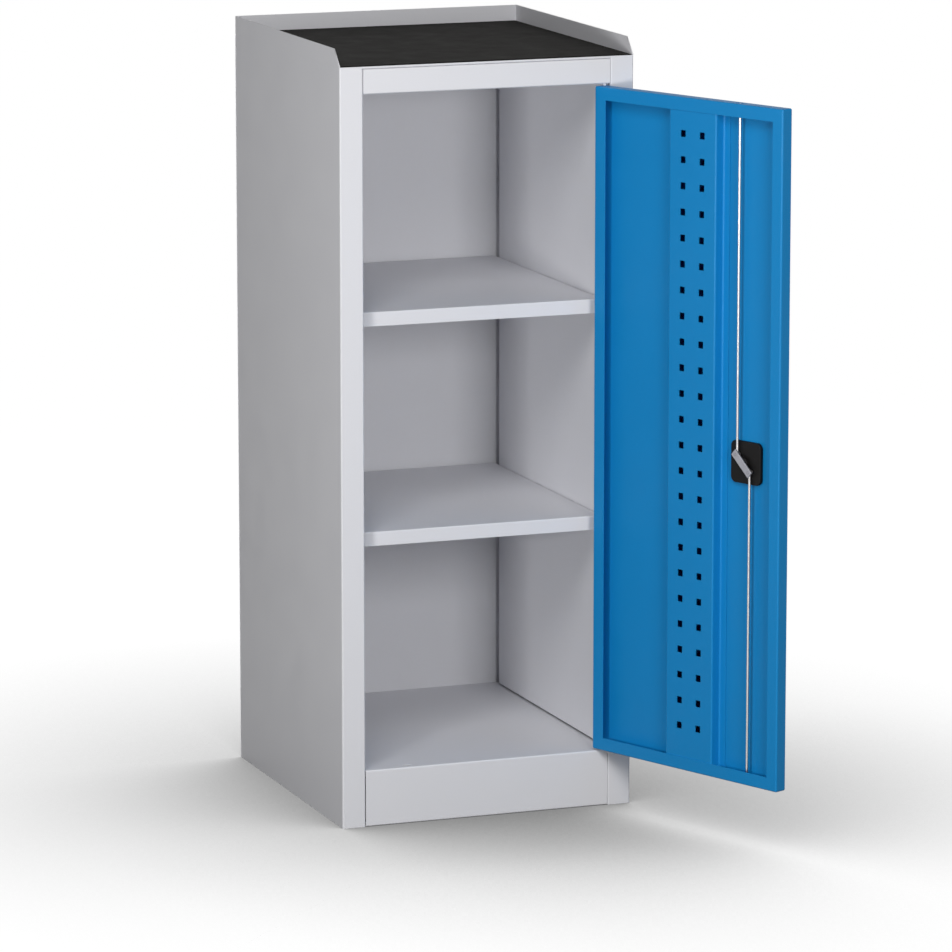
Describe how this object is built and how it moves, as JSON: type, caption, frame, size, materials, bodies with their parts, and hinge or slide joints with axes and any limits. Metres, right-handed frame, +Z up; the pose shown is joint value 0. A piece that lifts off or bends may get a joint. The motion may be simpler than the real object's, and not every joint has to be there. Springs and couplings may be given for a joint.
{
  "type": "workshop cabinet",
  "caption": "Narrow free-standing sheet-steel workshop cabinet with shelves, a matted top tray and a rod-locked tool door on pin hinges.",
  "frame": {"origin": "on the floor and on the centre plane, at the middle of the plinth's foot flange, 12.5 mm behind the front plane", "axes": "+Z up, -Y out of the front, +X to the hinge side. The door stands open at 113 degrees at rest"},
  "size_m": [0.5639, 0.8237, 1.15],
  "materials": {
    "grey_paint": "fine satin powder coat",
    "blue_paint": "fine satin powder coat",
    "rubber": "matt",
    "black_plastic": "satin moulded",
    "zinc_steel": "bright zinc plating",
    "nickel": "nickel plating",
    "white_polyamide": "moulded"
  },
  "bodies": {
    "carcass": {"left_side_panel": "grey_paint", "right_side_panel": "grey_paint", "left_inner_panel": "grey_paint", "right_inner_panel": "grey_paint", "back_panel": "grey_paint", "roof_panel": "grey_paint", "top_rail": "grey_paint", "plinth": "grey_paint", "rear_base_rail": "grey_paint", "floor_panel": "grey_paint", "top_tray": "grey_paint", "rubber_mat": "rubber", "upper_shelf": "grey_paint", "lower_shelf": "grey_paint", "upper_front_left_shelf_peg": "zinc_steel", "upper_front_right_shelf_peg": "zinc_steel", "upper_rear_left_shelf_peg": "zinc_steel", "upper_rear_right_shelf_peg": "zinc_steel", "lower_front_left_shelf_peg": "zinc_steel", "lower_front_right_shelf_peg": "zinc_steel", "lower_rear_left_shelf_peg": "zinc_steel", "lower_rear_right_shelf_peg": "zinc_steel", "upper_hinge_pin": "grey_paint", "lower_hinge_pin": "grey_paint", "hinge_washer": "white_polyamide"},
    "door": {"door_shell": "blue_paint", "tool_channel": "blue_paint", "lock_housing": "black_plastic", "handle_rosette": "black_plastic", "upper_hinge_block": "zinc_steel", "lower_hinge_block": "zinc_steel"},
    "lock_shaft": {"lock_lever": "zinc_steel", "lock_spindle": "zinc_steel", "turn_knob": "black_plastic", "upper_rod_pin": "zinc_steel", "lower_rod_pin": "zinc_steel"},
    "key_plug": {"lock_plug": "nickel"},
    "upper_rod": {"upper_rod": "zinc_steel"},
    "lower_rod": {"lower_rod": "zinc_steel"}
  },
  "joints": [
    {"name": "door_hinge", "type": "hinge", "parent": "carcass", "child": "door", "pos_m": [0.184, -0.00775, 0.5848], "axis": [0, 0, 1], "range_deg": [-113, 4.5]},
    {"name": "lock_turn", "type": "hinge", "parent": "door", "child": "lock_shaft", "pos_m": [0.30325, -0.27652, 0.561], "axis": [0.9205, 0.3907, 0], "range_deg": [-43, 47]},
    {"name": "key_turn", "type": "hinge", "parent": "lock_shaft", "child": "key_plug", "pos_m": [0.30325, -0.27652, 0.561], "axis": [0.9205, 0.3907, 0], "range_deg": [0, 90]},
    {"name": "upper_rod_swing", "type": "hinge", "parent": "lock_shaft", "child": "upper_rod", "pos_m": [0.2878, -0.26957, 0.57259], "axis": [0.9205, 0.3907, 0], "range_deg": [-48.1, 44]},
    {"name": "lower_rod_swing", "type": "hinge", "parent": "lock_shaft", "child": "lower_rod", "pos_m": [0.29752, -0.29246, 0.54941], "axis": [0.9205, 0.3907, 0], "range_deg": [-48.1, 44]}
  ],
  "couplings": [
    {"joint": "upper_rod_swing", "follows": "lock_turn", "ratio": -1.022},
    {"joint": "lower_rod_swing", "follows": "lock_turn", "ratio": -1.022}
  ]
}
